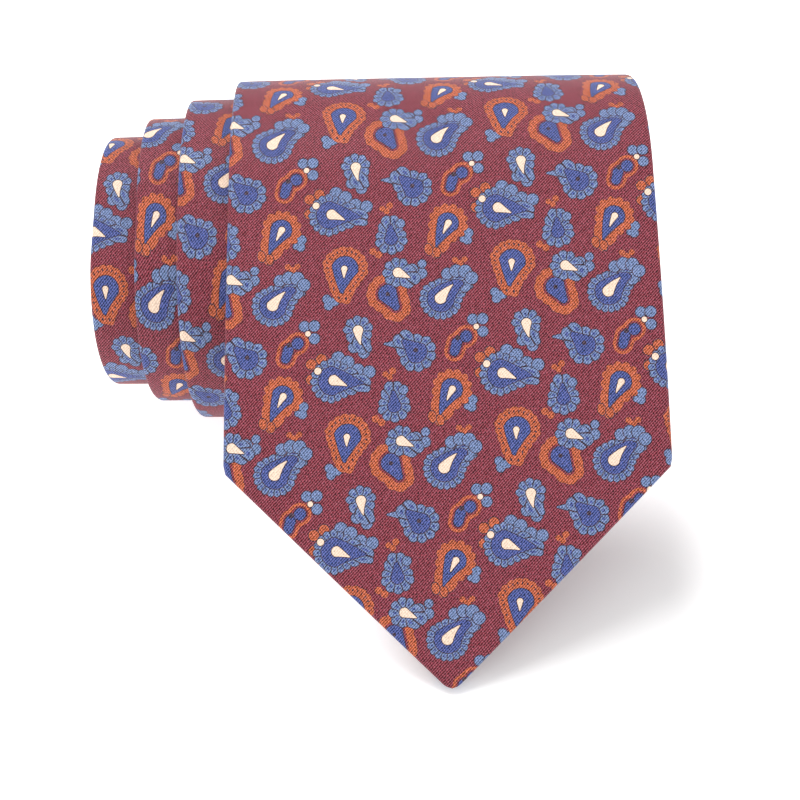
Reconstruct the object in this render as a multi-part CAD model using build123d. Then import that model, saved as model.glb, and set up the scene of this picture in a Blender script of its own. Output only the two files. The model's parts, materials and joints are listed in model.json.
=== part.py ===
from build123d import *
from math import asin, atan2, ceil, cos, degrees, hypot, pi, radians, sin, sqrt
import os

# A printed necktie, rolled up from its narrow tail, with the pointed end of the wide blade
# lying over the front of the roll as a ramp. All sizes are in millimetres.
# World frame: +X along the roll, +Y to the back, +Z up, the surface it lies on at z = 0.

# ---- the tie, laid flat -------------------------------------------------------------------
BLADE_WIDTH = 90.0        # across the blade at the corners of its point
WIDTHS = [(45.0, BLADE_WIDTH), (105.0, 87.3), (313.0, 83.0), (505.0, 75.0), (670.0, 68.5),
          (960.0, 40.0), (1060.0, 40.0), (1460.0, 46.0)]   # width at a distance from the tip
TIP_ROUNDING = 2.5        # at the very point
FLAP = 105.0              # free length, from the tip to the line where the roll starts
TACK_AT = 186.0           # blade tip to the bar tack where the two back flaps meet
TACK_LENGTH = 1.2
KEEPER_AT, KEEPER_WIDTH, KEEPER_SPAN = 246.0, 12.0, 54.0
TAIL_HEM = 62.0           # tail tip to its bar tack

# ---- layers, as depths below the outer face -------------------------------------------------
FACE = (0.0, 0.42)        # printed cloth
CORE = (0.52, 1.08)       # interlining
LINING = (1.18, 1.30)     # tipping
BACK = (1.40, 1.80)       # the same printed cloth, folded to the back
KEEPER = (1.90, 2.30)
TACK = (1.86, 2.20)       # thread bars that lie on the back flaps
THREAD = (1.44, 1.76)     # thread between the two back flaps
THICK = BACK[1]
WALL = 0.42               # cloth at the folded edge
SLIT = 0.4                # half the gap between the two back flaps
CLEAR = 0.10              # between pieces side by side
SEAM_GAP = 0.5            # between two panels, with the seam's stitches inside

# ---- the roll -------------------------------------------------------------------------------
ROLL_RADIUS = 33.2        # of the outermost half turn
FLAT = 10.2               # straight stretch between half turns: the roll is slightly flattened
LOOSE_STEP = 1.95         # radius lost per half turn in the four outer turns
TIGHT_STEP = 1.0          # radius lost per half turn in the core
LOOSE_HALVES = 7
LOOSE_TURNS = 4
HALF_TURNS = 22
FLAP_RADIUS = 400.0       # the free end bows gently
TURN_SHIFT = -13.3        # each outer turn is pushed out this far along X past the one outside it
CORE_SHIFT = -0.6         # the same for the tight core
REST_CUT = 0.25           # depth of the pressed flat on which the roll rests
STEP_ANGLE = 7.5          # sampling of the curved edges, in degrees


def half_radius(k):
    """Outer radius of half turn k, counted from 1 at the outside."""
    loose = min(k, LOOSE_HALVES) - 1
    return ROLL_RADIUS - loose * LOOSE_STEP - max(0, k - LOOSE_HALVES) * TIGHT_STEP


class Span:
    """One arc or straight of the outer face: start length, length, and how to walk it."""

    def __init__(self, start, length, place, turn, samples):
        self.start, self.length, self.place = start, length, place
        self.turn, self.samples = turn, samples


def lay_path():
    """The outer face in the roll's own section, v up the front and n out of the front.

    v = n = 0 is the line where the free end leaves the roll. Every span's place(t), with t
    from 0 to 1, gives (v, n, normal_v, normal_n).
    """
    def flap(t):
        a = (1 - t) * FLAP / FLAP_RADIUS
        return -FLAP_RADIUS * sin(a), -FLAP_RADIUS * (1 - cos(a)), -sin(a), cos(a)

    spans = [Span(0.0, FLAP, flap, 0.0, 12)]
    s = FLAP
    front = 0.0
    for k in range(1, HALF_TURNS + 1):
        r = half_radius(k)
        upper = k % 2 == 1
        centre = (0.0, front - r) if upper else (-FLAT, back + r)
        sign = 1 if upper else -1

        def arc(t, centre=centre, r=r, sign=sign):
            a = pi * t
            nv, nn = sign * sin(a), sign * cos(a)
            return centre[0] + r * nv, centre[1] + r * nn, nv, nn

        length = pi * (r - THICK / 2)
        spans.append(Span(s, length, arc, (k - 1) / 2, ceil(180 / STEP_ANGLE)))
        s += length
        level = centre[1] - sign * r

        def straight(t, level=level, sign=sign):
            v = -FLAT * t if sign > 0 else -FLAT * (1 - t)
            return v, level, 0.0, -sign

        if k < HALF_TURNS:
            spans.append(Span(s, FLAT, straight, k / 2, 2))
            s += FLAT
        if upper:
            back = level
        else:
            front = level
    return spans, s


SPANS, LENGTH = lay_path()


def turns_at(s):
    """How many turns inside the front line the length s lies; 0 on the free end."""
    for span in SPANS[1:]:
        if s <= span.start + span.length:
            part = 0 if span.length == FLAT else (s - span.start) / span.length / 2
            return max(0, span.turn + part) if s > FLAP else 0
    return HALF_TURNS / 2


def half_width(s):
    """Half the tie's width at the distance s from its tip, both points left out."""
    for (s0, w0), (s1, w1) in zip(WIDTHS, WIDTHS[1:]):
        if s < s1:
            return (w0 + (w1 - w0) * max(0, s - s0) / (s1 - s0)) / 2
    return WIDTHS[-1][1] / 2


def tail_half(s):
    """Half width with the tail's own 90 degree point."""
    return min(half_width(s), LENGTH - s + 2.0)


def shift(s):
    """Sideways place of the tie's centre line: the turns are pushed out like a telescope."""
    turns = turns_at(s)
    eased = turns - sin(2 * pi * turns) / (2 * pi)      # most of it at the back of each turn
    loose = LOOSE_TURNS - 1
    return min(eased, loose) * TURN_SHIFT + max(0, eased - loose) * CORE_SHIFT


def section_point(s, depth):
    """The point (v, n) at the length s and the depth below the outer face."""
    for span in SPANS:
        if s <= span.start + span.length + 1e-9:
            v, n, nv, nn = span.place((s - span.start) / span.length)
            return v - depth * nv, n - depth * nn
    raise ValueError("past the end of the tie")


# The ramp's slope: the surface touches the lower outer half turn and the tip's lower edge.
TIP_V, TIP_N = section_point(0.0, THICK)
RUN, DROP = -FLAT - TIP_V, TIP_N + ROLL_RADIUS + LOOSE_STEP
SLOPE = asin((ROLL_RADIUS - LOOSE_STEP) / hypot(RUN, DROP)) + atan2(DROP, RUN)


def turned(v, n):
    return v * cos(SLOPE) - n * sin(SLOPE), v * sin(SLOPE) + n * cos(SLOPE)


FLOOR = turned(TIP_V, TIP_N)[1]
FRONT_Y = turned(TIP_V, TIP_N)[0]
BACK_Y = turned(0.0, -ROLL_RADIUS)[0] + ROLL_RADIUS
INNER_LEFT = min(shift(s) - half_width(s) for s in range(int(FLAP), int(LENGTH)))
ORIGIN = ((INNER_LEFT + BLADE_WIDTH / 2) / 2, (FRONT_Y + BACK_Y) / 2, FLOOR + REST_CUT)


def world(x, v, n):
    y, z = turned(v, n)
    return Vector(x - ORIGIN[0], y - ORIGIN[1], z - ORIGIN[2])


def along(s, depth, x):
    """The point x from the tie's centre line, in the world."""
    return world(shift(s) + x, *section_point(s, depth))


def runs(start, end):
    """The lengths from start to end, one list for every span of the path that they touch."""
    for span in SPANS:
        low, high = max(start, span.start), min(end, span.start + span.length)
        if high - low > 0.01:
            steps = max(2, ceil(span.samples * (high - low) / span.length))
            yield [low + (high - low) * i / steps for i in range(steps + 1)]


def strip(start, end, corners):
    """A solid of one section, swept along the roll. corners are (x(s), depth), in order."""
    faces = []
    for marks in runs(start, end):
        edges = [Edge.make_spline([along(s, depth, x(s)) for s in marks])
                 for x, depth in corners]
        faces += [Face.make_surface_from_curves(edges[i - 1], edges[i])
                  for i in range(len(edges))]
    for end_s in (start, end):
        faces.append(Face(Wire.make_polygon([along(end_s, d, x(end_s)) for x, d in corners])))
    return Solid(Shell(faces))


def slab(start, end, left, right, depths):
    """A strip with a rectangular section between two side edges."""
    low, high = depths
    return strip(start, end, [(left, low), (right, low), (right, high), (left, high)])


def even_slab(start, end, half, depths):
    return slab(start, end, lambda s: -half(s), half, depths)


def folded(start, end, half, inner):
    """The shell: a face, two folded edges and two back flaps that reach in to inner(s)."""
    def wide(s):
        return half(s)

    def inside(s):
        return half(s) - WALL

    def lip(s):
        return min(inner(s), inside(s) - 0.3)

    right = [(wide, 0.0), (wide, THICK), (lip, THICK), (lip, BACK[0]),
             (inside, BACK[0]), (inside, FACE[1])]
    left = [(lambda s, f=f: -f(s), d) for f, d in reversed(right)]
    return strip(start, end, right + left)


# ---- the free end: flat outlines, cut out of curved layers -----------------------------------
def outline(inset=0.0):
    """The blade's end in its own plane: x across, v up the front. The point has 90 degrees."""
    half = BLADE_WIDTH / 2 - inset
    tip = TIP_V_FACE + inset * sqrt(2)
    corner = tip + half
    top = half_width(FLAP) - inset
    shape = make_face(Polyline((0, tip), (half, corner), (top, -CLEAR), (-top, -CLEAR),
                               (-half, corner), close=True))
    point = [v for v in shape.vertices() if abs(v.Y - tip) < 0.01]
    return fillet(point, max(TIP_ROUNDING - inset, 0.5))


TIP_V_FACE = section_point(0.0, 0.0)[0]


def layer(depths):
    """The free end's curved layer between two depths, wider than the blade."""
    reach = (FLAP + 20) / FLAP_RADIUS
    radii = [FLAP_RADIUS - d for d in depths]
    far = [(-r * sin(reach), r * cos(reach) - FLAP_RADIUS) for r in radii]
    mid = [(-r * sin(reach / 2), r * cos(reach / 2) - FLAP_RADIUS) for r in radii]
    top = [(0, r - FLAP_RADIUS) for r in radii]
    edge = Wire([ThreePointArc(top[0], mid[0], far[0]), Line(far[0], far[1]),
                 ThreePointArc(far[1], mid[1], top[1]), Line(top[1], top[0])])
    band = extrude(Face(edge), BLADE_WIDTH, both=True, dir=(0, 0, 1))
    # section axes (v, n, x) to the flat outline's axes (x, v, n)
    return Plane(origin=(0, 0, 0), x_dir=(0, 1, 0), z_dir=(1, 0, 0)) * band


def cut_out(shape, depths):
    block = extrude(shape, FLAP, both=True)
    return block & layer(depths)


def place_flap(solid):
    """From the flat outline's axes (x, v, n) to the world."""
    origin = world(0, 0, 0)
    y, z = turned(1.0, 0.0)
    ny, nz = turned(0.0, 1.0)
    return Plane(origin=origin, x_dir=(1, 0, 0), z_dir=(0, ny, nz)) * solid


def flap_edge(s):
    """How far in the back flaps' edges reach: straight from the hem to the bar tack."""
    return max(SLIT, 34.0 * (TACK_AT - s) / (TACK_AT - 52.0))


def blade_tip_shell():
    hem = 10.0
    tip = TIP_V_FACE
    opening = make_face(Polyline(
        (0, tip + hem * sqrt(2)), (34.0 - 4, tip + 34.0 + 10), (34.0, tip + 52.0),
        (flap_edge(FLAP), 5), (-flap_edge(FLAP), 5), (-34.0, tip + 52.0),
        (-34.0 + 4, tip + 34.0 + 10), close=True))
    back = outline() - opening
    inside = outline(WALL)
    top = Pos(0, 2, 0) * Rectangle(BLADE_WIDTH - 4, 10)
    edge = outline() - inside - top
    return cut_out(outline(), FACE) + cut_out(edge, (0.0, THICK)) + cut_out(back, BACK)


# ---- the pieces -------------------------------------------------------------------------------
def turn_end(turn):
    """Length at which turn number turn ends, at the front of the roll."""
    span = SPANS[4 * turn]
    return span.start + span.length


ROLL_START = FLAP + CLEAR
PANEL_1 = turn_end(4)                     # blade panel to neck panel
PANEL_2 = PANEL_1 + 330.0                 # neck panel to tail panel
TAIL_TACK = LENGTH - TAIL_HEM


def flat_below(solid):
    """Trim to the surface it rests on."""
    return solid - Pos(0, 0, -10) * Box(400, 400, 20)


def blade_coil(turn):
    start = turn_end(turn - 1) + CLEAR if turn > 1 else ROLL_START
    end = turn_end(turn) - (SEAM_GAP / 2 if turn == 4 else 0)
    if turn > 1:
        return folded(start, end, half_width, lambda s: SLIT)
    first = folded(start, TACK_AT, half_width, flap_edge)
    return flat_below(first + folded(TACK_AT, end, half_width, lambda s: SLIT))


def tail_edge(s):
    """The tail's back flaps part in a narrow V from a little before its bar tack."""
    return max(SLIT, 0.35 * (s - TAIL_TACK + 8.0))


def tail_shell():
    start = PANEL_2 + SEAM_GAP / 2
    return folded(start, LENGTH, tail_half, tail_edge)


def inside_edge(half):
    return lambda s: half(s) - WALL - CLEAR


def blade_tipping_coil():
    return even_slab(ROLL_START, TACK_AT, lambda s: min(flap_edge(s) + 8.0, 40.0), LINING)


def tail_tipping():
    return even_slab(TAIL_TACK - 6, LENGTH - 4, inside_edge(tail_half), LINING)


def keeper_loop():
    return even_slab(KEEPER_AT, KEEPER_AT + KEEPER_WIDTH, lambda s: KEEPER_SPAN / 2, KEEPER)


def keeper_stitches():
    gap, size = 0.15, 1.4
    tacks = []
    for side in (-1, 1):
        near = side * (KEEPER_SPAN / 2 + gap)
        far = near + side * size
        low, high = sorted((near, far))
        for start in (KEEPER_AT + 1, KEEPER_AT + KEEPER_WIDTH - 2.2):
            tacks.append(slab(start, start + 1.2, lambda s, a=low: a, lambda s, b=high: b, TACK))
    return tacks


def bar_tack(start, half, depths):
    return even_slab(start, start + TACK_LENGTH, lambda s: half, depths)


def slip_stitch():
    return even_slab(TACK_AT + 4, TAIL_TACK - 10, lambda s: 0.15, THREAD)


def spare_thread_loop():
    """The free end of the slip stitch: a small flat loop beside the bar tack."""
    start, length, half, thread = TACK_AT + 6, 16.0, 2.2, 0.4
    legs = [slab(start, start + length, lambda s, a=a: a, lambda s, a=a: a + thread, TACK)
            for a in (-half, half - thread)]
    bow = slab(start + length - thread, start + length, lambda s: -half, lambda s: half, TACK)
    return legs[0] + bow + legs[1]


def seam(at):
    return even_slab(at - 0.12, at + 0.12, lambda s: half_width(s) - 0.6, (0.06, 0.40))


def pieces():
    yield "blade_tip_shell", flat_below(place_flap(blade_tip_shell()))
    for turn in range(1, 5):
        yield f"blade_shell_coil_{turn}", blade_coil(turn)
    yield "neck_shell", folded(PANEL_1 + SEAM_GAP / 2, PANEL_2 - SEAM_GAP / 2, half_width,
                               lambda s: SLIT)
    yield "tail_shell", tail_shell()
    inner = WALL + CLEAR
    yield "interlining_tip", place_flap(cut_out(outline(inner), CORE))
    yield "interlining_coil", even_slab(ROLL_START, LENGTH - 1, inside_edge(tail_half), CORE)
    yield "blade_tipping", place_flap(cut_out(outline(inner), LINING))
    yield "blade_tipping_coil", blade_tipping_coil()
    yield "tail_tipping", tail_tipping()
    yield "keeper_loop", keeper_loop()
    yield "keeper_stitches", Compound(keeper_stitches())
    yield "blade_bar_tack", bar_tack(TACK_AT, 4.0, TACK)
    yield "tail_bar_tack", bar_tack(TAIL_TACK, 2.5, THREAD)
    yield "slip_stitch", slip_stitch()
    yield "spare_thread_loop", spare_thread_loop()
    yield "blade_neck_seam", seam(PANEL_1)
    yield "neck_tail_seam", seam(PANEL_2)


def main():
    os.makedirs("parts", exist_ok=True)
    for name, solid in pieces():
        export_step(solid, f"parts/{name}.step")
        print(f"{name}: {len(solid.solids())} solid(s), {solid.volume:.0f} mm3")
    hinge = world(0, 0, 0)
    rest = world(0, -FLAT, -ROLL_RADIUS - LOOSE_STEP)
    print(f"length {LENGTH:.1f}, slope {degrees(SLOPE):.2f} deg, core radius "
          f"{half_radius(HALF_TURNS) - THICK:.2f}, hinge y {hinge.Y:.3f} z {hinge.Z:.3f}, "
          f"rest line y {rest.Y:.3f}, panels end at {PANEL_1:.0f} and {PANEL_2:.0f}")


main()
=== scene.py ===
import bpy
import json
import math
from math import cos, pi, radians, sin, sqrt
from mathutils import Matrix, Vector

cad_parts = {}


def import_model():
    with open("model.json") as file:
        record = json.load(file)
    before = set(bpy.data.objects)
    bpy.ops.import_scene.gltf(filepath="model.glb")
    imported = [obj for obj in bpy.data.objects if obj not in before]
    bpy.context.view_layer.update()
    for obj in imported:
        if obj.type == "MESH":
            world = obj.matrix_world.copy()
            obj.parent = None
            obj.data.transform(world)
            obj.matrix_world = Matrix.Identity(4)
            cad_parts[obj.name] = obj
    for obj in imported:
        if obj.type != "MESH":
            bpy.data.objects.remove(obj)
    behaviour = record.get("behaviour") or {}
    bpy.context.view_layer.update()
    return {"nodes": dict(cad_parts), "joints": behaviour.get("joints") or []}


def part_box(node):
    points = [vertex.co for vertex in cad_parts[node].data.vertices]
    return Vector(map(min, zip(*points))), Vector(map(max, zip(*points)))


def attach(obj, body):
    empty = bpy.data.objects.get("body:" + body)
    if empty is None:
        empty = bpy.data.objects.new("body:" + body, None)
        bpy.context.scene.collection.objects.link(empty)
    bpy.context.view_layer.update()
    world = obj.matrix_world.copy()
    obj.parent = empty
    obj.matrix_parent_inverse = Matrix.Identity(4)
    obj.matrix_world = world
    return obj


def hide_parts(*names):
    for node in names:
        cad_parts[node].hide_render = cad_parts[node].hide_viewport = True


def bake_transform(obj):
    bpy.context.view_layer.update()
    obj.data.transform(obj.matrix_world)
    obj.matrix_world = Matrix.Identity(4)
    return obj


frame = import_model()

MM = 0.001

# ---- the tie's own measures, in millimetres, as in the CAD part --------------------------------
# Places along the tie count from the blade's point.
WIDTHS = [(45.0, 90.0), (105.0, 87.3), (313.0, 83.0), (505.0, 75.0), (670.0, 68.5),
          (960.0, 40.0), (1060.0, 40.0), (1460.0, 46.0)]      # (place, width)
TIP_ROUNDING = 2.5            # radius of the blade's point
FLAP, FLAP_RADIUS = 105.0, 400.0        # the free end, and the radius of its bow
THICK = 1.8                   # the folded tie
CLOTH = 0.34                  # the printed cloth alone
ROLL_RADIUS = 33.2
FLAT = 10.2                   # the straight run between two half turns
LOOSE_STEP, TIGHT_STEP = 1.95, 1.0                            # from one half turn to the next
LOOSE_HALVES, HALF_TURNS = 7, 22        # half turns at the loose step, and all of them
LOOSE_TURNS = 4               # whole turns in the blade's panel
TURN_SHIFT, CORE_SHIFT = -13.3, -0.6                          # sideways, from turn to turn
TACK_AT = 186.0               # the bar tack behind the blade
TAIL_HEM = 62.0               # from the tail's bar tack to its end
TAIL_POINT = 2.0              # half width at the very end
PANEL = 330.0                 # the neck panel's length
SEAM = 0.25                   # half the gap at a piecing seam
SLIT = 0.3                    # half the gap between the back flaps
HEM = 14.0                    # across the hem behind the point
MITRE_END, MITRE_GAP = 52.0, 34.0       # the V's edge runs from this place and half width
TAIL_V, TAIL_V_LEAD = 0.35, 8.0         # how fast the tail's V opens, and how far before the tack
TAIL_TURNED = 8.0             # across the tail's hem
KEEPER_SPAN, KEEPER_HALF = (246.0, 258.0), 27.0
POINT_FROM, POINT_RUN, POINT_THIN = 0.9, 1.1, 0.3             # how the point thins at its end
CORE_INSET, TAIL_INSET, LINING_INSET = 1.3, 1.1, 1.5          # inside the fold's edges
LINING_TUCK = 9.0             # how far the lining reaches under the back flaps
LEAST_HALF = 0.3
CORE_START, LINING_START = 3.0, 3.5     # the inner layers stop short of the point
CORE_END, LINING_END = 4.0, 5.0         # and of the tail's end
CORE_DEPTHS, LINING_DEPTHS, KEEPER_DEPTHS = (0.55, 1.05), (1.18, 1.30), (1.90, 2.30)
CROWN, CROWN_HALF = 0.16, 30.0          # how far the face swells, in full from this half width
RESTING, SUNK = 0.6, 0.42     # cloth under the first height is flattened, so that cloth as far
                              # under the floor as the second just rests on it

# ---- how finely the cloth is made ---------------------------------------------------------------
EDGE_STEPS = 9                # divisions round a folded edge
HEM_POINTS = 8                # points across a flap that is folded back
BLADE_FACES, ROLLED_FACES, NECK_FACES, TAIL_FACES = 26, 24, 12, 10      # points across half a face
BLADE_STEP, ROLLED_STEP, NECK_STEP, TAIL_STEP = 1.8, 2.2, 2.6, 2.2      # along the tie, at most
TIP_MARKS = [1.0, 1.15, 1.4, 1.8, 2.4, 3.2, 4.2]              # close rows round the point
BLADE_START = 5.5             # the regular rows begin here

# ---- the print's measures, in millimetres -------------------------------------------------------
REPEAT = (33.9, 34.2)         # across and along the tie
PHASE = (-0.5, 80.2)          # the middle of one large paisley
SKEW = 0.025                  # the rows run slightly uphill
LINE = 0.17                   # the printed outline
THIN_LINE = 0.08              # the same around orange petals
FINE_LINE = 0.06              # and around the small hearts
TWILL = 0.444                 # pitch of the weave's diagonals
RIB_RUN, CROSS_RUN = (0.724, -0.69), (0.62, 0.41)             # directions of the two ribs
STRAY = 5.0                   # how far flecks push the ribs aside, in radians
RIB_SHARE, CROSS_SHARE = 0.78, 0.22
RIB_PAINTED_LIGHT, GAP_PAINTED_SHADE = 1.9, -0.1     # brightness painted on a rib less that painted in a gap, and that in a gap: painted light on the ribs, painted shade in the gaps
FLECK_SCALE, FLECK_LIGHT, FLECK_DARK = 2.6, 1.7, -0.75
LEAST_LIGHT = 0.12
SPECK_POWER, SPECK_SHARE = 3.0, 0.26    # a pale colour shows on the tops of the ribs
# How far the print has crept on the inner turns, where the cloth lies stretched round the core:
# (place, across, along).
CREEP = [(0, 0.0, 0.0), (150, 0.0, 0.0), (275, 2.1, 1.2), (328, 3.0, 5.4), (470, 1.6, 0.5),
         (532, -0.9, 8.0), (648, -10.8, -3.2), (690, -11.2, -1.6), (1500, -11.2, -1.6)]


# ---- the roll's path ----------------------------------------------------------------------------
def lay_path():
    """The spans (start, length, turn, place) of the tie's outer face, and its whole length.

    place(t), with t from 0 to 1 along a span, gives the point (v, n) in the roll's section and
    the outward normal there (nv, nn). The free end lies along v, and the roll's axis across it.
    """
    def flap(t):
        a = (1 - t) * FLAP / FLAP_RADIUS
        return -FLAP_RADIUS * sin(a), -FLAP_RADIUS * (1 - cos(a)), -sin(a), cos(a)

    spans, s, front, back = [(0.0, FLAP, 0.0, flap)], FLAP, 0.0, 0.0
    for k in range(1, HALF_TURNS + 1):
        r = ROLL_RADIUS - (min(k, LOOSE_HALVES) - 1) * LOOSE_STEP \
            - max(0, k - LOOSE_HALVES) * TIGHT_STEP
        sign = 1 if k % 2 else -1
        centre = (0.0, front - r) if k % 2 else (-FLAT, back + r)

        def arc(t, centre=centre, r=r, sign=sign):
            nv, nn = sign * sin(pi * t), sign * cos(pi * t)
            return centre[0] + r * nv, centre[1] + r * nn, nv, nn

        length = pi * (r - THICK / 2)
        spans.append((s, length, (k - 1) / 2, arc))
        s += length
        level = centre[1] - sign * r

        def straight(t, level=level, sign=sign):
            return (-FLAT * t if sign > 0 else -FLAT * (1 - t)), level, 0.0, -sign

        if k < HALF_TURNS:
            spans.append((s, FLAT, k / 2, straight))
            s += FLAT
        if k % 2:
            back = level
        else:
            front = level
    return spans, s


SPANS, LENGTH = lay_path()
HALF_ONE = SPANS[1][0] + SPANS[1][1]    # end of the outermost half turn
PANEL_1 = SPANS[4 * LOOSE_TURNS][0] + SPANS[4 * LOOSE_TURNS][1]         # the blade's panel ends
PANEL_2 = PANEL_1 + PANEL               # the neck's panel ends
TAIL_TACK = LENGTH - TAIL_HEM
TAIL_LINING_START = TAIL_TACK - 6


def span_at(s):
    for span in SPANS:
        if s <= span[0] + span[1] + 1e-9:
            return span
    return SPANS[-1]


def section_point(s, depth):
    """The section's point at s along the tie and at a depth under its outer face."""
    start, length, _, place = span_at(s)
    v, n, nv, nn = place((s - start) / length)
    return v - depth * nv, n - depth * nn


def turns_at(s):
    """Turns of the roll up to s."""
    if s <= FLAP:
        return 0.0
    start, length, turn, _ = span_at(s)
    return turn if length == FLAT else turn + (s - start) / length / 2


def shift(s):
    """How far the turn at s is pushed sideways."""
    turns = turns_at(s)
    eased = turns - sin(2 * pi * turns) / (2 * pi)
    loose = LOOSE_TURNS - 1
    return min(eased, loose) * TURN_SHIFT + max(0, eased - loose) * CORE_SHIFT


def half_width(s):
    for (s0, w0), (s1, w1) in zip(WIDTHS, WIDTHS[1:]):
        if s < s1:
            return (w0 + (w1 - w0) * max(0, s - s0) / (s1 - s0)) / 2
    return WIDTHS[-1][1] / 2


# The hinge line and the middle of the blade come from the frame. The slope is the one at which
# both the point and the roll touch the floor.
HINGE = next(j for j in frame["joints"] if j["name"] == "blade_lift")["pos_m"]
BLADE_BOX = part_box("blade_tip_shell")
MIDDLE = (BLADE_BOX[0][0] + BLADE_BOX[1][0]) / 2
tip_v, tip_n = section_point(0.0, THICK)
run, drop = -FLAT - tip_v, tip_n + ROLL_RADIUS + LOOSE_STEP
SLOPE = math.asin((ROLL_RADIUS - LOOSE_STEP) / math.hypot(run, drop)) + math.atan2(drop, run)


def world(x, v, n):
    """The point at x across and (v, n) in the section, in millimetres, in the frame's metres."""
    y = (v * cos(SLOPE) - n * sin(SLOPE)) * MM
    z = HINGE[2] + (v * sin(SLOPE) + n * cos(SLOPE)) * MM
    if z < RESTING * MM:      # the cloth flattens where it rests
        z = RESTING * MM * (z + SUNK * MM) / (RESTING * MM + SUNK * MM)
    return Vector((MIDDLE + x * MM, HINGE[1] + y, z))


# ---- swept cloth --------------------------------------------------------------------------------
def tip_half(s):
    """Half width near the blade's rounded 90 degree point."""
    r = TIP_ROUNDING
    start = r * (sqrt(2) - 1)
    if s < r / sqrt(2):
        return sqrt(max(0.0, r * r - (r * sqrt(2) - max(s, start)) ** 2)) + 0.05
    return min(s, half_width(s))


def tail_half(s):
    return min(half_width(s), LENGTH - s + TAIL_POINT)


def stations(start, end, step):
    """Places along the tie from start to end, with one at every joint between spans."""
    marks = [start]
    for span_start, length, _, _ in SPANS:
        low, high = max(start, span_start), min(end, span_start + length)
        if high - low > 0.05:
            count = max(1, math.ceil((high - low) / step))
            marks += [low + (high - low) * (i + 1) / count for i in range(count)]
    return marks


def rows(count, low, high):
    """Evenly spaced numbers, with both ends."""
    return [low + (high - low) * i / (count - 1) for i in range(count)]


def folded_loop(half, lip, faces, taper=1.0):
    """The printed cloth's section, folded to the back along both edges.

    Gives its outer side and its inner side, each a row of (x, depth, place across the cloth).
    half is the tie's half width, lip is where the folded edges end, and a taper below 1 brings
    face and back together.
    """
    mid, r = THICK / 2, THICK / 2 * taper
    r_in = max(r - CLOTH, 0.05)
    flat = max(half - THICK / 2, 0.02)
    lip = min(lip, flat * 0.96)
    crown = CROWN * min(1.0, half / CROWN_HALF)
    side = []
    for x in rows(faces, 0.0, flat):
        puff = crown * (1 - (x / max(half, 1)) ** 4)
        side.append((x, mid - r - puff, mid - r_in - puff, x))
    for i in range(1, EDGE_STEPS):
        a = pi * i / EDGE_STEPS
        side.append((flat + r * sin(a) * (half - flat) / (THICK / 2), mid - r * cos(a),
                     mid - r_in * cos(a), flat + THICK / 2 * a))
    for x in rows(HEM_POINTS, flat, lip):
        side.append((x, mid + r, mid + r_in, flat + THICK / 2 * pi + flat - x))
    outer = [(x, d, u) for x, d, _, u in side]
    inner = [(min(x, flat + (x - flat) * r_in / r), d, u) for x, _, d, u in side]
    return tuple([(-x, d, -u) for x, d, u in reversed(face[1:])] + face
                 for face in (outer, inner))


def slab_loop(half, depths, faces):
    """A flat layer's section, top side then under side, thinned to an edge at both ends."""
    low, high = depths
    middle, edge = (low + high) / 2, 0.02
    across = rows(faces, -half, half)
    top = [(x, low if abs(x) < half else middle - edge, x) for x in across]
    under = [(x, high if abs(x) < half else middle + edge, x) for x in across]
    return top, under


def creep(s):
    """How far the print lies from its regular place, across and along the tie."""
    for (s0, *a), (s1, *b) in zip(CREEP, CREEP[1:]):
        if s <= s1:
            t = (s - s0) / (s1 - s0)
            t = t * t * (3 - 2 * t)
            return a[0] + (b[0] - a[0]) * t, a[1] + (b[1] - a[1]) * t
    return CREEP[-1][1:]


def sweep(name, marks, loop):
    """A closed mesh of loop(s) at every mark; slot 0 is the outer side, slot 1 the inner side.

    The attribute "weave" keeps each point's place on the flat cloth, for the materials.
    """
    points, weave, faces, slots = [], [], [], []
    for s in marks:
        outer, inner = loop(s)
        side, along = creep(s)
        for x, depth, u in outer + inner:
            points.append(world(shift(s) + x, *section_point(s, depth)))
            weave.append((u - side, s - along, 0.0))
    half = len(outer)
    size = 2 * half
    ring = list(range(half)) + list(range(size - 1, half - 1, -1))
    for row in range(len(marks) - 1):
        a, b = row * size, (row + 1) * size
        for i in range(size):
            p, q = ring[i], ring[(i + 1) % size]
            faces.append((a + p, a + q, b + q, b + p))
            slots.append(0 if p < half and q < half else 1)
    for base, flip in ((0, False), ((len(marks) - 1) * size, True)):
        for i in range(half - 1):
            quad = (base + i, base + half + i, base + half + i + 1, base + i + 1)
            faces.append(tuple(reversed(quad)) if flip else quad)
            slots.append(0)
    mesh = bpy.data.meshes.new(name)
    mesh.from_pydata(points, [], faces)
    mesh.polygons.foreach_set("material_index", slots)
    mesh.polygons.foreach_set("use_smooth", [True] * len(faces))
    attribute = mesh.attributes.new("weave", "FLOAT_VECTOR", "POINT")
    attribute.data.foreach_set("vector", [c for w in weave for c in w])
    mesh.update()
    piece = bpy.data.objects.new(name, mesh)
    bpy.context.scene.collection.objects.link(piece)
    return piece


# ---- node materials -----------------------------------------------------------------------------
def linear(rgb):
    """A colour of 0 to 255 as a shader takes it, with its alpha."""
    return tuple((c / 12.92 if c <= 0.04045 else ((c + 0.055) / 1.055) ** 2.4)
                 for c in (v / 255 for v in rgb)) + (1.0,)


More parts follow.
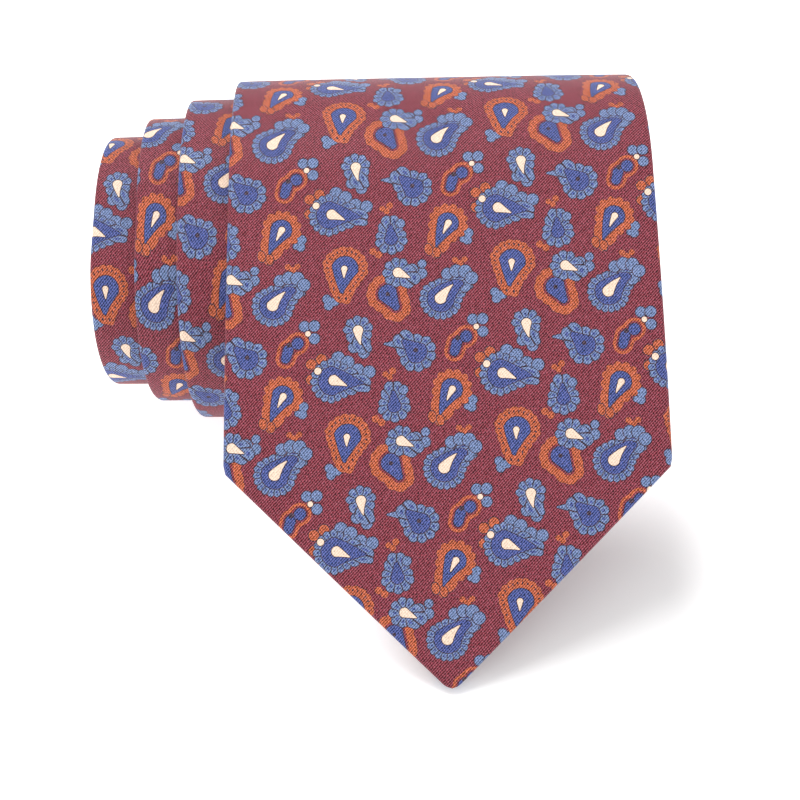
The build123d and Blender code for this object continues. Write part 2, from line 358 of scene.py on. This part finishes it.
class Net:
    """A material's node tree, with short calls for its nodes."""

    def __init__(self, name):
        self.material = bpy.data.materials.new(name)
        self.material.use_nodes = True
        self.tree = self.material.node_tree
        self.tree.nodes.clear()
        self.out = self.node("ShaderNodeOutputMaterial")

    def node(self, kind, **values):
        node = self.tree.nodes.new(kind)
        for key, value in values.items():
            setattr(node, key, value)
        return node

    def feed(self, node, *inputs):
        """Links or sets a node's inputs, in order; None leaves one alone."""
        for socket, value in zip(node.inputs, inputs):
            if isinstance(value, bpy.types.NodeSocket):
                self.tree.links.new(value, socket)
            elif value is not None:
                socket.default_value = value
        return node

    def math(self, operation, *inputs, clamp=False):
        node = self.node("ShaderNodeMath", operation=operation, use_clamp=clamp)
        return self.feed(node, *inputs).outputs[0]

    def vector(self, operation, *inputs, out=0):
        node = self.node("ShaderNodeVectorMath", operation=operation)
        return self.feed(node, *inputs).outputs[out]

    def mix(self, factor, a, b):
        node = self.node("ShaderNodeMix", data_type="RGBA")
        for socket, value in ((node.inputs[0], factor), (node.inputs[6], a),
                              (node.inputs[7], b)):
            if isinstance(value, bpy.types.NodeSocket):
                self.tree.links.new(value, socket)
            else:
                socket.default_value = value
        return node.outputs[2]

    def swap(self, place):
        """(x, y) to (y, x)."""
        parts = self.feed(self.node("ShaderNodeSeparateXYZ"), place)
        return self.feed(self.node("ShaderNodeCombineXYZ"), parts.outputs[1],
                         parts.outputs[0]).outputs[0]

    def link(self, a, b):
        self.tree.links.new(a, b)


GROUND = linear((117, 30, 42))
INK = linear((40, 28, 42))
BLUE = linear((47, 73, 136))
PALE = linear((96, 121, 162))
ORANGE = linear((176, 82, 34))
CREAM = linear((238, 211, 187))
SPECK = linear((206, 172, 194))         # a pale colour, laid on the tops of the ribs


class Print:
    """Draws motifs, one over another, on a repeat that wraps at its edges."""

    GAP = 0.24                # up to this much of petals(), the ink between two petals shows
    HEART_FROM, HEART_AT, HEART_SIZE = 0.86, 0.42, 0.16       # a pale petal's blue fleck
    MELT = 0.35               # how softly a heart's discs run together

    def __init__(self, net, place):
        self.net = net
        skewed = net.vector("SUBTRACT", place, net.vector("MULTIPLY", net.swap(place),
                                                          (0.0, SKEW, 0.0)))
        self.place = net.vector("SUBTRACT", skewed, (PHASE[0], PHASE[1], 0.0))
        self.colour = GROUND

    def local(self, x, y):
        """The place relative to a motif's centre, wrapped to the nearest repeat."""
        moved = self.net.vector("SUBTRACT", self.place, (x, y, 0.0))
        px, py = REPEAT[0] / 2, REPEAT[1] / 2
        return self.net.vector("WRAP", moved, (px, py, 1.0), (-px, -py, -1.0))

    def cone(self, q, a, b, ra, rb):
        """A drop with radius ra at a and rb at b: ra on its outline, and more outside it."""
        net = self.net
        if a != (0, 0):
            q = net.vector("SUBTRACT", q, (a[0], a[1], 0.0))
        dx, dy = b[0] - a[0], b[1] - a[1]
        square = dx * dx + dy * dy
        h = net.vector("DOT_PRODUCT", q, (dx / square, dy / square, 0.0), out=1)
        h = net.math("MULTIPLY", h, 1.0, clamp=True)
        near = net.vector("MULTIPLY_ADD", h, (-dx, -dy, 0.0), q)
        return net.math("MULTIPLY_ADD", h, ra - rb, net.vector("LENGTH", near, out=1))

    def bend(self, q, axis, side):
        """q moved sideways by side times the square of its way along the axis: a curled tail."""
        net, size = self.net, math.hypot(*axis)
        x, y = axis[0] / size, axis[1] / size
        far = net.vector("DOT_PRODUCT", q, (x, y, 0.0), out=1)
        far = net.math("MAXIMUM", far, 0.0)
        return net.vector("MULTIPLY_ADD", net.math("MULTIPLY", far, far),
                          (-y * side, x * side, 0.0), q)

    def petals(self, q, count, phase=0.0):
        """0 between petals and 1 in the middle of each, around q's origin."""
        net = self.net
        parts = net.feed(net.node("ShaderNodeSeparateXYZ"), q)
        angle = net.math("ARCTAN2", parts.outputs[1], parts.outputs[0])
        return net.math("ABSOLUTE", net.math("SINE", net.math("MULTIPLY_ADD", angle, count / 2,
                                                              phase)))

    def fill(self, distance, edge, colour):
        """Lays a colour over everything nearer than edge."""
        self.colour = self.net.mix(self.net.math("LESS_THAN", distance, edge), self.colour,
                                   colour)

    def shape(self, distance, radius, colour, line=LINE):
        """A filled shape with an outline."""
        if line:
            self.fill(distance, radius + line, INK)
        self.fill(distance, radius, colour)

    def dots(self, q, *discs, line=LINE):
        """Small round petals: (x, y, radius, colour)."""
        for x, y, radius, colour in discs:
            self.shape(self.net.vector("DISTANCE", q, (x, y, 0.0), out=1), radius, colour, line)

    def heart(self, q, colour, *discs, line=LINE):
        """Discs (x, y, radius) that run into one shape."""
        net, d = self.net, None
        for x, y, radius in discs:
            far = net.math("SUBTRACT", net.vector("DISTANCE", q, (x, y, 0.0), out=1), radius)
            d = far if d is None else net.math("SMOOTH_MIN", d, far, self.MELT)
        self.shape(d, 0.0, colour, line)

    def ring(self, q, distance, inner, width, count, colour, phase=0.0, line=LINE,
             scallop=0.45, parted=True):
        """A band of petals from inner to inner + width around a drop, parted by ink lines."""
        net = self.net
        wave = self.petals(q, count, phase)
        edge = net.math("MULTIPLY_ADD", wave, -scallop, distance)
        outer = inner + width - scallop
        petal = colour
        if colour == PALE:
            among = net.math("GREATER_THAN", wave, self.HEART_FROM)
            off = net.math("SUBTRACT", distance, inner + width * self.HEART_AT)
            within = net.math("LESS_THAN", net.math("ABSOLUTE", off), width * self.HEART_SIZE)
            petal = net.mix(net.math("MULTIPLY", among, within), colour, BLUE)
        if parted:
            petal = net.mix(net.math("LESS_THAN", wave, self.GAP), petal, INK)
        if line:
            self.fill(edge, outer + line, INK)
        self.fill(edge, outer, petal)


def draw_print(ink):
    """All motifs of one repeat, lowest first. Places are millimetres from PHASE."""
    # J: orange paisley with a small blue heart
    q = ink.local(-10.9, 0.6)
    d = ink.cone(q, (0, 0), (1.6, -2.7), 1.9, 0.7)
    ink.ring(q, d, 2.5, 1.85, 13, ORANGE, line=THIN_LINE, scallop=0.3, parted=False)
    ink.fill(d, 2.5, GROUND)
    ink.shape(d, 1.9, BLUE)
    ink.dots(q, (0.0, 0.0, 0.25, INK))
    # I: small comma of pale petals around a drop that points down to the right
    q = ink.local(-8.75, 4.95)
    ink.dots(q, (4.8, -0.4, 1.05, PALE), (4.9, 1.6, 0.85, PALE), (2.9, 0.5, 1.15, PALE))
    d = ink.cone(q, (0, 0), (2.3, -1.1), 1.0, 0.12)
    ink.ring(q, d, 1.0, 2.1, 9, PALE)
    ink.shape(d, 1.0, CREAM)
    # small orange tulips and hearts
    q = ink.local(3.8, 6.7)
    ink.heart(q, ORANGE, (-0.95, 0.4, 0.62), (1.0, 0.4, 0.62), (0.0, -0.4, 0.7), line=FINE_LINE)
    q = ink.local(-10.9, -15.7)
    ink.heart(q, ORANGE, (-0.8, 0.0, 0.6), (0.7, 0.6, 0.7), (0.1, -0.6, 0.6), line=FINE_LINE)
    q = ink.local(-13.2, -25.0)
    ink.heart(q, ORANGE, (-0.6, 0.4, 0.75), (0.6, -0.4, 0.75), line=FINE_LINE)
    q = ink.local(5.3, -22.4)
    ink.heart(q, PALE, (-0.8, -0.5, 0.55), (0.4, 0.8, 0.95), (0.2, -0.7, 0.85))
    q = ink.local(11.2, -0.6)
    ink.heart(q, PALE, (-0.5, 0.7, 0.85), (1.1, 0.1, 0.85), (-0.2, -0.7, 0.85))
    # C: upright leaf of pale petals around a blue heart
    q = ink.local(-10.0, -21.6)
    d = ink.cone(q, (0, -0.5), (-0.15, 2.1), 1.35, 0.4)
    ink.ring(q, d, 1.35, 2.0, 11, PALE, phase=0.6)
    ink.dots(q, (1.9, 2.6, 0.9, PALE))
    ink.shape(d, 1.35, BLUE)
    # B: pale flower with a tail to the upper left
    q = ink.local(-5.4, -11.5)
    d = ink.cone(q, (-2.8, 1.8), (-6.3, 1.9), 1.05, 0.15)
    ink.shape(d, 1.05, PALE)
    d = ink.cone(q, (0, 0), (-2.2, 2.1), 2.15, 0.6)
    ink.ring(q, d, 2.15, 1.85, 11, PALE)
    ink.shape(d, 2.15, BLUE)
    ink.dots(q, (-0.1, 0.4, 0.3, INK))
    # G: two blue lobes inside an orange line, and a sprig beside them
    q = ink.local(3.4, -10.2)
    ink.dots(q, (2.7, 4.9, 1.05, PALE), (4.7, 4.9, 1.1, PALE), (4.7, 2.3, 1.05, PALE))
    lobe_1 = ink.net.math("ADD", ink.net.vector("DISTANCE", q, (1.3, 1.45, 0.0), out=1), -0.15)
    lobe_2 = ink.cone(q, (-0.6, 0.2), (-1.1, -1.5), 1.0, 0.9)
    d = ink.net.math("SMOOTH_MIN", lobe_1, lobe_2, 1.0)
    ink.fill(d, 2.15, ORANGE)
    ink.fill(d, 1.5, GROUND)
    ink.fill(ink.net.math("MINIMUM", lobe_1, lobe_2), 1.0 + LINE, INK)
    ink.fill(ink.net.math("MINIMUM", lobe_1, lobe_2), 1.0, BLUE)
    ink.dots(q, (3.4, 3.35, 0.55, CREAM), (-0.4, 1.2, 0.35, INK))
    # A: pale comma around an upright drop
    q = ink.local(16.9, -6.6)
    ink.dots(q, (1.1, -4.6, 1.1, PALE), (-0.9, -3.4, 1.1, PALE), (1.3, -2.5, 1.15, PALE))
    q = ink.bend(q, (-0.2, -2.7), -0.07)
    d = ink.cone(q, (0, 0), (-0.1, -2.7), 1.0, 0.12)
    ink.ring(q, d, 1.0, 2.0, 9, PALE, phase=0.4)
    ink.shape(d, 1.0, CREAM)
    # F: orange collar with dark dots around a blue drop
    q = ink.local(14.4, 6.1)
    q = ink.bend(q, (-1.4, -4.4), -0.03)
    d = ink.cone(q, (0, 0), (-1.3, -4.3), 2.6, 0.35)
    ink.ring(q, d, 2.65, 2.15, 17, ORANGE, line=THIN_LINE, scallop=0.3, parted=False)
    wave = ink.petals(q, 24)
    speck = ink.net.math("MULTIPLY", ink.net.math("GREATER_THAN", wave, 0.9),
                         ink.net.math("LESS_THAN", ink.net.math("ABSOLUTE", ink.net.math(
                             "SUBTRACT", d, 3.8)), 0.24))
    ink.colour = ink.net.mix(speck, ink.colour, INK)
    ink.shape(d, 2.65, BLUE)
    ink.shape(ink.cone(q, (-0.1, 0.1), (-0.25, -1.6), 0.62, 0.12), 0.62, CREAM)
    # E: orange petals around a blue drop that points down to the left
    q = ink.local(1.5, -19.4)
    q = ink.bend(q, (-3.1, -4.1), -0.03)
    d = ink.cone(q, (0, 0), (-3.0, -4.2), 2.2, 0.15)
    ink.ring(q, d, 2.2, 2.1, 13, ORANGE, line=THIN_LINE, scallop=0.65, parted=False)
    ink.dots(q, (-5.0, -4.5, 0.95, ORANGE), (-3.2, -5.3, 0.9, ORANGE))
    ink.shape(d, 2.2, BLUE)
    ink.shape(ink.cone(q, (0.2, 0.1), (-1.0, -1.9), 0.66, 0.1), 0.66, CREAM)
    # H: the large lying paisley
    q = ink.local(11.7, -16.6)
    ink.dots(q, (-4.3, 3.5, 1.05, ORANGE), (-2.3, 4.5, 1.05, ORANGE), (-4.4, 0.4, 1.0, ORANGE),
             (1.1, 4.6, 1.25, PALE), (3.0, 3.6, 1.3, PALE), (5.0, 1.9, 1.3, PALE),
             (7.3, 1.5, 1.2, PALE))
    q = ink.bend(q, (5.8, 0.2), 0.025)
    d = ink.cone(q, (0, 0), (5.9, 0.2), 2.9, 0.2)
    ink.ring(q, d, 2.9, 1.6, 17, PALE)
    ink.shape(d, 2.9, BLUE)
    ink.dots(q, (-3.0, 2.1, 0.7, CREAM))
    ink.shape(ink.cone(q, (0.2, 0.1), (2.7, -0.9), 1.05, 0.1), 1.05, CREAM)
    # D: the large upright paisley with its curl of two petals
    q = ink.local(-0.1, -0.7)
    bent = ink.bend(q, (2.4, 3.3), 0.06)
    d = ink.cone(bent, (0, 0), (2.2, 3.3), 2.8, 1.2)
    ink.ring(bent, d, 2.8, 1.6, 19, PALE, scallop=0.35)
    ink.dots(q, (1.3, 5.0, 1.15, PALE), (3.1, 5.5, 1.25, PALE), (4.9, 5.3, 1.3, PALE),
             (4.8, 2.3, 1.2, PALE), (6.2, 3.9, 1.25, PALE))
    ink.shape(d, 2.8, BLUE)
    ink.shape(ink.cone(bent, (-0.15, 0.0), (1.7, 3.0), 1.15, 0.1), 1.15, CREAM)
    return ink.colour


def weave_place(net):
    """The place on the flat cloth, in millimetres."""
    return net.node("ShaderNodeAttribute", attribute_name="weave").outputs["Vector"]


def twill(net, place, pitch=TWILL, stray=None):
    """The diagonal ribs and the wider ribs that cross them, each from 0 to 1."""
    turns = 2 * pi / pitch
    across, along = (net.vector("DOT_PRODUCT", place, (turns * x, turns * y, 0.0), out=1)
                     for x, y in (RIB_RUN, CROSS_RUN))
    if stray is not None:
        across = net.math("MULTIPLY_ADD", stray, STRAY, across)
    rib = net.math("MULTIPLY_ADD", net.math("SINE", across), 0.5, 0.5)
    cross = net.math("MULTIPLY_ADD", net.math("SINE", along), 0.5, 0.5)
    return rib, cross


def cloth_shader(net, colour, height, rough, sheen, bump=0.35):
    """Finishes a material with a soft shader; the height raises the threads."""
    shader = net.node("ShaderNodeBsdfPrincipled")
    net.link(colour, shader.inputs["Base Color"])
    shader.inputs["Specular IOR Level"].default_value = 0.2
    shader.inputs["Sheen Weight"].default_value = sheen
    shader.inputs["Sheen Roughness"].default_value = 0.4
    net.link(rough, shader.inputs["Roughness"])
    relief = net.node("ShaderNodeBump")
    relief.inputs["Strength"].default_value = bump
    relief.inputs["Distance"].default_value = 0.08 * MM
    net.link(height, relief.inputs["Height"])
    net.link(relief.outputs[0], shader.inputs["Normal"])
    net.link(shader.outputs[0], net.out.inputs["Surface"])
    return net.material


def printed_silk():
    """The print on its twill, with flecks where the dye took unevenly, painted light on the ribs
    and painted shade in the gaps between them.
    """
    net = Net("printed_silk")
    place = weave_place(net)
    colour = draw_print(Print(net, place))
    fleck = net.node("ShaderNodeTexNoise", noise_dimensions="2D")
    net.link(place, fleck.inputs["Vector"])
    fleck.inputs["Scale"].default_value = FLECK_SCALE
    fleck.inputs["Detail"].default_value = 1.0
    rib, cross = twill(net, place, stray=fleck.outputs[0])
    weave = net.math("MULTIPLY_ADD", cross, CROSS_SHARE, net.math("MULTIPLY", rib, RIB_SHARE))
    # Painted light on the twill's ribs and painted shade in the gaps between them.
    light = net.math("MULTIPLY_ADD", weave, RIB_PAINTED_LIGHT, GAP_PAINTED_SHADE)
    light = net.math("ADD", light,
                     net.math("MULTIPLY_ADD", fleck.outputs[0], FLECK_LIGHT, FLECK_DARK))
    green = net.feed(net.node("ShaderNodeSeparateColor"), colour).outputs[1]
    pure = net.math("MULTIPLY", green, 1.1, clamp=True)       # the palest dyes get less of the weave's painted shade
    light = net.math("ADD", light, net.math("MULTIPLY", pure, net.math("SUBTRACT", 1.0, light)))
    shaded = net.vector("SCALE", colour, None)
    net.link(net.math("MAXIMUM", light, LEAST_LIGHT), shaded.node.inputs["Scale"])
    # A pale colour laid on the tops of the ribs.
    thread = net.math("MULTIPLY", net.math("POWER", weave, SPECK_POWER), SPECK_SHARE)
    specked = net.mix(thread, shaded, SPECK)
    rough = net.math("MULTIPLY_ADD", rib, 0.12, 0.5)
    return cloth_shader(net, specked, weave, rough, 0.05)


def plain_cloth(name, rgb, pitch, roughness, sheen, contrast=0.3, bump=0.3):
    """One colour, with painted shade between the threads."""
    net = Net(name)
    place = weave_place(net)
    rib, cross = twill(net, place, pitch)
    weave = net.math("MULTIPLY", rib, cross)
    fibre = net.node("ShaderNodeTexNoise", noise_dimensions="2D")
    net.link(place, fibre.inputs["Vector"])
    fibre.inputs["Scale"].default_value = 0.8
    # Painted shade between the threads, with the fibre's random tone over it.
    painted_shade_colour = tuple(c * (1 - contrast) for c in linear(rgb)[:3]) + (1.0,)
    painted_light_and_fibre = net.math("MULTIPLY_ADD", weave, 0.7, net.math("MULTIPLY", fibre.outputs[0], 0.4))
    colour = net.mix(painted_light_and_fibre, painted_shade_colour, linear(rgb))
    rough = net.math("MULTIPLY_ADD", weave, -0.08, roughness)
    return cloth_shader(net, colour, weave, rough, sheen, bump)


def thread_material():
    """Plied thread: fine slanting ribs over the sewn pieces, with painted shade between the plies.
    """
    net = Net("thread")
    place = net.node("ShaderNodeTexCoord").outputs["Object"]
    turns = net.vector("DOT_PRODUCT", place, (14000.0, 9000.0, 9000.0), out=1)
    ply = net.math("MULTIPLY_ADD", net.math("SINE", turns), 0.5, 0.5)
    colour = net.mix(ply, linear((92, 30, 44)), linear((150, 66, 82)))
    rough = net.math("MULTIPLY_ADD", ply, -0.1, 0.7)
    return cloth_shader(net, colour, ply, rough, 0.2)


SILK = printed_silk()
SILK_BACK = plain_cloth("silk_reverse", (150, 92, 104), TWILL, 0.65, 0.2)
CORE_CLOTH = plain_cloth("interlining", (226, 220, 205), 0.9, 0.95, 0.5, contrast=0.2)
LINING = plain_cloth("tipping", (112, 34, 52), 0.32, 0.38, 0.1, contrast=0.25, bump=0.15)
THREAD = thread_material()


# ---- the pieces ---------------------------------------------------------------------------------
def dress(piece, slot, *materials):
    """Gives a piece its outer and inner materials."""
    for material in materials:
        piece.data.materials.append(material)
    return piece


def flap_lip(s):
    """Where the back flaps' edges lie: a mitred hem at the point, then a long V to the tack."""
    hem = tip_half(s) - HEM
    if s < MITRE_END:
        return max(SLIT, hem)
    return max(SLIT, min(hem, MITRE_GAP * (TACK_AT - s) / (TACK_AT - MITRE_END)))


def blade_loop(s):
    """The blade's section, which thins over the last millimetre of its point."""
    near = min(1.0, (s - POINT_FROM) / POINT_RUN)
    taper = sqrt(1 - (1 - near) ** 2) * (1 - POINT_THIN) + POINT_THIN
    return folded_loop(tip_half(s), flap_lip(s), BLADE_FACES, taper)


def long_loop(faces):
    """The section where the back seam is closed."""
    return lambda s: folded_loop(half_width(s), SLIT, faces)


def closed_lip(s):
    return SLIT


def tail_lip(s):
    """The tail's V opening and its hem."""
    return max(SLIT, min(TAIL_V * (s - TAIL_TACK + TAIL_V_LEAD), tail_half(s) - TAIL_TURNED))


def tail_loop(s):
    return folded_loop(tail_half(s), tail_lip(s), TAIL_FACES)


# Half widths of the layers, each kept inside the fold around it.
def core_half(s):
    return max(tip_half(s) - CORE_INSET, LEAST_HALF)


def tail_core_half(s):
    return max(tail_half(s) - TAIL_INSET, LEAST_HALF)


def tipping_half(s):
    return max(min(tip_half(s) - LINING_INSET, flap_lip(s) + LINING_TUCK), LEAST_HALF)


def keeper_half(s):
    return KEEPER_HALF


def cross_joint(piece):
    """Keeps a piece where it lies, with its transform baked into its mesh."""
    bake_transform(piece)


def cut_area(start, end, half, lip=None, step=1.0):
    """Flat area of a strip in square metres, with the flaps that are folded back to lip(s)."""
    total, s = 0.0, start + step / 2
    while s < end:
        total += (2 * half(s) + (2 * (half(s) - lip(s)) if lip else 0.0)) * step
        s += step
    return total * MM * MM


blade = sweep("blade_front", TIP_MARKS + stations(BLADE_START, HALF_ONE, BLADE_STEP), blade_loop)
dress(blade, "printed_silk", SILK, SILK_BACK)
cross_joint(blade)
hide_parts("blade_tip_shell", "blade_shell_coil_1")

rolled = sweep("blade_rolled", stations(HALF_ONE, PANEL_1 - SEAM, ROLLED_STEP),
               long_loop(ROLLED_FACES))
dress(rolled, "printed_silk", SILK, SILK_BACK)
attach(rolled, "roll")
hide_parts("blade_shell_coil_2", "blade_shell_coil_3", "blade_shell_coil_4")

neck = sweep("neck", stations(PANEL_1 + SEAM, PANEL_2 - SEAM, NECK_STEP),
             long_loop(NECK_FACES))
dress(neck, "printed_silk", SILK, SILK_BACK)
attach(neck, "roll")
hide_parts("neck_shell")

tail = sweep("tail", stations(PANEL_2 + SEAM, LENGTH, TAIL_STEP), tail_loop)
dress(tail, "printed_silk", SILK, SILK_BACK)
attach(tail, "roll")
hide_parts("tail_shell")


def layer(name, start, end, half, depths, faces, step=3.0):
    """A flat strip between two depths under the outer face."""
    return sweep(name, stations(start, end, step),
                 lambda s: slab_loop(half(s), depths, faces))


core_front = layer("interlining_front", CORE_START, HALF_ONE, core_half, CORE_DEPTHS,
                   faces=17)
core_rolled = layer("interlining_rolled", HALF_ONE, LENGTH - CORE_END, tail_core_half,
                    CORE_DEPTHS, faces=13)
tipping = layer("blade_lining", LINING_START, TACK_AT, tipping_half, LINING_DEPTHS, faces=13)
tail_lining = layer("tail_lining", TAIL_LINING_START, LENGTH - LINING_END, tail_core_half,
                    LINING_DEPTHS, faces=9)
keeper = layer("keeper", *KEEPER_SPAN, keeper_half, KEEPER_DEPTHS, faces=21, step=1.0)
for piece, material, slot in ((core_front, CORE_CLOTH, "interlining"),
                              (core_rolled, CORE_CLOTH, "interlining"),
                              (tipping, LINING, "tipping"), (tail_lining, LINING, "tipping"),
                              (keeper, SILK, "printed_silk")):
    dress(piece, slot, material, material)
for piece in (core_front, tipping):
    cross_joint(piece)
for piece in (core_rolled, tail_lining, keeper):
    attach(piece, "roll")
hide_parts("interlining_tip")
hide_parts("interlining_coil")
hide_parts("blade_tipping", "blade_tipping_coil")
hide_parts("tail_tipping")
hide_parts("keeper_loop")

for name, sewn in frame["nodes"].items():        # the sewn pieces stay as their CAD solids
    if any(word in name for word in ("tack", "stitch", "seam", "thread")):
        sewn.data.materials.clear()
        sewn.data.materials.append(THREAD)


# ---- the flat cut area of every sheet, worked out and left unused -------------------------------
def declare(piece, start, end, width, half, lip=None):
    cut_area(start, end, half, lip)


declare(blade, 0, HALF_ONE, 180.0, tip_half, flap_lip)
declare(rolled, HALF_ONE, PANEL_1, 175.0, half_width, closed_lip)
declare(neck, PANEL_1, PANEL_2, 106.0, half_width, closed_lip)
declare(tail, PANEL_2, LENGTH, 92.0, tail_half, tail_lip)
declare(core_front, CORE_START, HALF_ONE, 88.0, core_half)
declare(core_rolled, HALF_ONE, LENGTH - CORE_END, 86.0, tail_core_half)
declare(tipping, LINING_START, TACK_AT, 87.0, tipping_half)
declare(tail_lining, TAIL_LINING_START, LENGTH - LINING_END, 46.0, tail_core_half)
declare(keeper, *KEEPER_SPAN, 2 * KEEPER_HALF, keeper_half)

# ---- floor, light and camera --------------------------------------------------------------------
FLOOR_SIZE = 60.0
PAINTED_FLOOR_GLOW = 0.7                    # painted light: the floor glows though no lamp lights it, which washes out the shadows on it, least where the blade's shadow falls
SHADE_AT, SHADE_TURN, SHADE_STRETCH = (0.043, -0.049, 0.0), radians(32), (1.6, 1.0, 1.0)
SHADE_FROM, SHADE_TO = 0.012, 0.040     # the painted glow rises from none to all between these radii
KEY_AT, KEY_TARGET, KEY_SIZE, KEY_POWER = (-0.20, 0.30, 0.90), (0, 0, 0.02), 0.42, 4.2

floor_mesh = bpy.data.meshes.new("floor")
corner = FLOOR_SIZE / 2
floor_mesh.from_pydata([(-corner, -corner, 0), (corner, -corner, 0), (corner, corner, 0),
                        (-corner, corner, 0)], [], [(0, 1, 2, 3)])
floor = bpy.data.objects.new("floor", floor_mesh)
bpy.context.scene.collection.objects.link(floor)
glowing_floor = Net("floor")
matte = glowing_floor.node("ShaderNodeBsdfPrincipled")
matte.inputs["Base Color"].default_value = (0.95, 0.95, 0.95, 1)
matte.inputs["Roughness"].default_value = 1.0
matte.inputs["Specular IOR Level"].default_value = 0.0
# Painted light: the floor's emission, a glow with no lamp behind it, washes out real shadows
# except in the patch right of the point.
matte.inputs["Emission Color"].default_value = (1, 1, 1, 1)
glow_patch_place = glowing_floor.node("ShaderNodeMapping", vector_type="TEXTURE")
glowing_floor.feed(glow_patch_place, glowing_floor.node("ShaderNodeTexCoord").outputs["Object"], SHADE_AT,
           (0.0, 0.0, SHADE_TURN), SHADE_STRETCH)
glow = glowing_floor.node("ShaderNodeMapRange", interpolation_type="SMOOTHSTEP")
glowing_floor.feed(glow, glowing_floor.vector("LENGTH", glow_patch_place.outputs[0], out=1), SHADE_FROM, SHADE_TO, 0.0, PAINTED_FLOOR_GLOW)
glowing_floor.link(glow.outputs[0], matte.inputs["Emission Strength"])
glowing_floor.link(matte.outputs[0], glowing_floor.out.inputs["Surface"])
floor_mesh.materials.append(glowing_floor.material)

sky = bpy.data.worlds.new("studio")
sky.use_nodes = True
background = sky.node_tree.nodes["Background"]
background.inputs["Color"].default_value = (1, 1, 1, 1)
background.inputs["Strength"].default_value = 1.0
bpy.context.scene.world = sky


def softbox(name, place, target, size, power):
    light = bpy.data.lights.new(name, "AREA")
    light.shape = "DISK"
    light.size = size
    light.energy = power
    lamp = bpy.data.objects.new(name, light)
    lamp.location = place
    lamp.rotation_euler = (Vector(target) - Vector(place)).to_track_quat("-Z", "Y").to_euler()
    bpy.context.scene.collection.objects.link(lamp)


softbox("key", KEY_AT, KEY_TARGET, KEY_SIZE, KEY_POWER)

LENS, SENSOR = 70.2, 36.0
ELEVATION, ROLL, DISTANCE = radians(46.9), radians(-1.09), 0.320
AIM = (-9.33, -44.4, -10.0)   # what the camera looks at, across and in the section
camera = bpy.data.objects.new("camera", bpy.data.cameras.new("camera"))
camera.data.lens, camera.data.sensor_width = LENS, SENSOR
camera.data.clip_start = 0.01
forward = Vector((0, cos(ELEVATION), -sin(ELEVATION)))
across = Vector((1, 0, 0))
upward = across.cross(forward)
right = across * cos(ROLL) + upward * sin(ROLL)
up = upward * cos(ROLL) - across * sin(ROLL)
turned = Matrix((right, up, -forward)).transposed().to_4x4()
camera.matrix_world = Matrix.Translation(world(*AIM) - forward * DISTANCE) @ turned
bpy.context.scene.collection.objects.link(camera)
bpy.context.scene.camera = camera
bpy.context.scene.view_settings.view_transform = "Standard"
